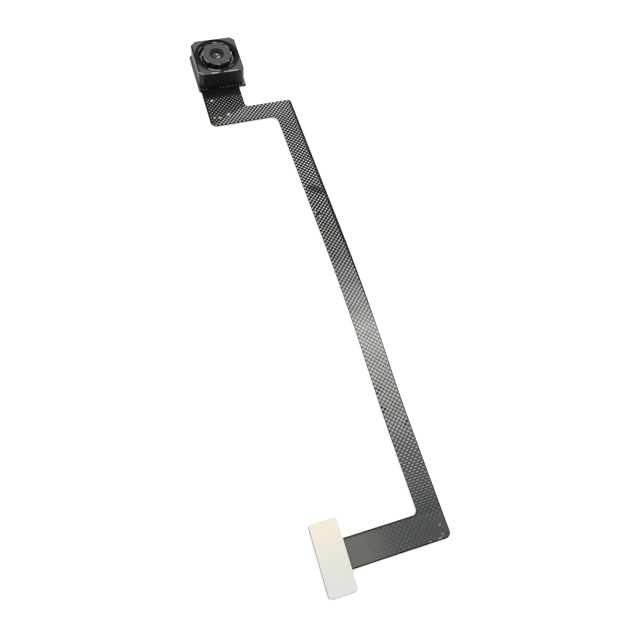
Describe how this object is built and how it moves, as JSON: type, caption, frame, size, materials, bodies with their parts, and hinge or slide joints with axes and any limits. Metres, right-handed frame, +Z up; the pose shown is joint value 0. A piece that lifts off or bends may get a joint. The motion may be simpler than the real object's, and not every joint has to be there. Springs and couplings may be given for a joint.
{
  "type": "autofocus camera module with flexible circuit",
  "caption": "Small square autofocus camera head on a long Z-shaped flexible circuit that ends in a board-to-board connector under a steel plate.",
  "frame": {"origin": "middle of the head's flat underside, where the head rests", "axes": "+Z up out of the lens, +X along the two short arms towards the long strip, +Y from the connector towards the head"},
  "size_m": [0.0196, 0.1007, 0.0046],
  "materials": {
    "can_steel": "matt dark grey coating on drawn steel",
    "black_plastic": "moulded black liquid-crystal polymer",
    "barrel_plastic": "fine-textured dark grey moulding",
    "lens_plastic": "clear, with a green anti-reflection coat",
    "filter_glass": "polished, pale blue-green",
    "spacer_film": "black light-blocking film",
    "spring_metal": "etched copper alloy sheet with a dull nickel flash",
    "coil_copper": "fine copper winding in dark enamel",
    "magnet": "nickel-plated sintered magnet",
    "plate_steel": "rolled stainless sheet",
    "pale_plate": "pale satin stainless plate",
    "flex_core": "dark polyimide laminate with copper",
    "shield_film": "dark film pressed over a hatched copper mesh",
    "cover_film": "plain black cover layer",
    "board": "black solder mask on laminate",
    "silicon": "polished silicon with a coloured pixel field",
    "chip_ceramic": "fired ceramic with tinned ends",
    "solder": "reflowed solder",
    "contact_gold": "gold-plated copper alloy",
    "connector_plastic": "moulded black liquid-crystal polymer"
  },
  "bodies": {
    "housing": {"base_plate": "plate_steel", "flex_circuit": "flex_core", "shield_film_top": "shield_film", "shield_film_bottom": "shield_film", "neck_cover": "cover_film", "sensor_board": "board", "image_sensor": "silicon", "board_capacitors": "chip_ceramic", "sensor_housing": "black_plastic", "coil_terminals": "spring_metal", "ir_filter": "filter_glass", "edge_terminals": "solder", "ground_solder": "solder", "shield_can": "can_steel", "motor_base": "black_plastic", "lower_spring": "spring_metal", "magnets": "magnet", "spring_spacer": "black_plastic", "upper_spring": "spring_metal", "top_frame": "black_plastic", "connector_housing": "connector_plastic", "connector_contacts": "contact_gold", "connector_nails": "solder", "connector_stiffener": "pale_plate"},
    "lens_group": {"lens_carrier": "black_plastic", "drive_coil": "coil_copper", "lens_barrel": "barrel_plastic", "lens_retainer": "spacer_film", "lens_1": "lens_plastic", "lens_2": "lens_plastic", "lens_3": "lens_plastic", "lens_4": "lens_plastic", "lens_spacer_1": "spacer_film", "lens_spacer_2": "spacer_film", "lens_spacer_3": "spacer_film"}
  },
  "joints": [
    {"name": "focus_slide", "type": "slide", "parent": "housing", "child": "lens_group", "axis": [0, 0, 1], "range_m": [0, 0.0003], "stiffness_N_per_m": 40, "springref_m": -0.0001, "deforming": ["lower_spring", "upper_spring"]}
  ]
}
